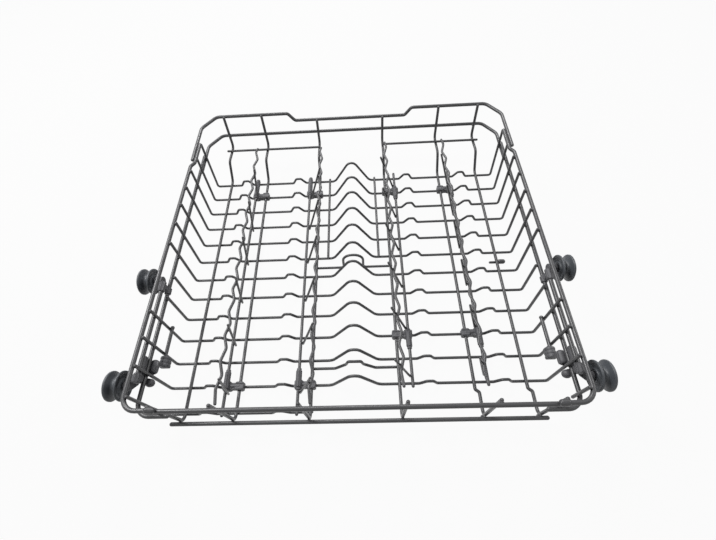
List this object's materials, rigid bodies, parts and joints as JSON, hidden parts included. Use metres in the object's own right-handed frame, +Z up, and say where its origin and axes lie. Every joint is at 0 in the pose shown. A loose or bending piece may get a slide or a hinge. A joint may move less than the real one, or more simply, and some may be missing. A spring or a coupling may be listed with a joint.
{
  "type": "dishwasher basket",
  "caption": "Upper dishwasher basket of coated wire with stepped rear wall, central ridge, folding tine rows and spool rollers on moulded side brackets.",
  "frame": {"origin": "under the middle of the basket, on the plane that the cross wires rest on", "axes": "+X to the right seen from the front, +Y to the rear, +Z up"},
  "size_m": [0.539, 0.462, 0.1036],
  "materials": {
    "coated_wire": "satin nylon coating, dark grey",
    "clip_plastic": "moulded, mid grey",
    "roller_plastic": "moulded, semi-gloss dark grey"
  },
  "bodies": {
    "frame": {"carrier_wires": "coated_wire", "cross_wire_01": "coated_wire", "cross_wire_02": "coated_wire", "cross_wire_03": "coated_wire", "cross_wire_04": "coated_wire", "cross_wire_05": "coated_wire", "cross_wire_06": "coated_wire", "cross_wire_07": "coated_wire", "cross_wire_08": "coated_wire", "cross_wire_09": "coated_wire", "cross_wire_10": "coated_wire", "cross_wire_11": "coated_wire", "cross_wire_12": "coated_wire", "fold_row_a_clips": "clip_plastic", "fold_row_b_clips": "clip_plastic", "fold_row_c_clips": "clip_plastic", "fold_row_d_clips": "clip_plastic", "front_cross_wire_left": "coated_wire", "front_low_bar": "coated_wire", "front_top_bar": "coated_wire", "front_wall_piece_right": "coated_wire", "long_wire_1": "coated_wire", "long_wire_2": "coated_wire", "long_wire_3": "coated_wire", "long_wire_4": "coated_wire", "long_wire_5": "coated_wire", "long_wire_6": "coated_wire", "pipe_guides": "coated_wire", "pipe_holder_front": "coated_wire", "pipe_holder_rear": "coated_wire", "rear_mid_rail": "coated_wire", "rear_rim": "coated_wire", "rear_short_wires": "coated_wire", "roller_bracket_front_left": "clip_plastic", "roller_bracket_front_right": "clip_plastic", "roller_bracket_middle_left": "clip_plastic", "roller_bracket_middle_right": "clip_plastic", "side_mid_rail_left": "coated_wire", "side_mid_rail_right": "coated_wire", "side_rim_left": "coated_wire", "side_rim_right": "coated_wire", "stay_wires": "coated_wire", "stub_pin": "coated_wire"},
    "fold_row_a": {"fold_row_a_rod": "coated_wire", "fold_row_a_tines": "coated_wire", "fold_row_a_wave": "coated_wire"},
    "fold_row_b": {"fold_row_b_rod": "coated_wire", "fold_row_b_tines": "coated_wire", "fold_row_b_wave": "coated_wire"},
    "fold_row_c": {"fold_row_c_rod": "coated_wire", "fold_row_c_tines": "coated_wire", "fold_row_c_wave": "coated_wire"},
    "fold_row_d": {"fold_row_d_rod": "coated_wire", "fold_row_d_tines": "coated_wire", "fold_row_d_wave": "coated_wire"},
    "roller_front_left": {"roller_front_left": "roller_plastic"},
    "roller_front_right": {"roller_front_right": "roller_plastic"},
    "roller_middle_left": {"roller_middle_left": "roller_plastic"},
    "roller_middle_right": {"roller_middle_right": "roller_plastic"}
  },
  "joints": [
    {"name": "fold_row_a_fold", "type": "hinge", "parent": "frame", "child": "fold_row_a", "pos_m": [-0.1635, 0, 0.011], "axis": [0, -1, 0], "range_deg": [0, 63]},
    {"name": "fold_row_b_fold", "type": "hinge", "parent": "frame", "child": "fold_row_b", "pos_m": [-0.0715, 0, 0.011], "axis": [0, -1, 0], "range_deg": [0, 106]},
    {"name": "fold_row_c_fold", "type": "hinge", "parent": "frame", "child": "fold_row_c", "pos_m": [0.0715, 0, 0.011], "axis": [0, 1, 0], "range_deg": [0, 106]},
    {"name": "fold_row_d_fold", "type": "hinge", "parent": "frame", "child": "fold_row_d", "pos_m": [0.1635, 0, 0.011], "axis": [0, 1, 0], "range_deg": [0, 70]},
    {"name": "roller_front_left_spin", "type": "hinge", "parent": "frame", "child": "roller_front_left", "pos_m": [-0.258, -0.1985, 0.0805], "axis": [1, 0, 0], "continuous": true},
    {"name": "roller_front_right_spin", "type": "hinge", "parent": "frame", "child": "roller_front_right", "pos_m": [0.258, -0.1985, 0.0805], "axis": [1, 0, 0], "continuous": true},
    {"name": "roller_middle_left_spin", "type": "hinge", "parent": "frame", "child": "roller_middle_left", "pos_m": [-0.258, -0.0675, 0.0805], "axis": [1, 0, 0], "continuous": true},
    {"name": "roller_middle_right_spin", "type": "hinge", "parent": "frame", "child": "roller_middle_right", "pos_m": [0.258, -0.0675, 0.0805], "axis": [1, 0, 0], "continuous": true}
  ]
}
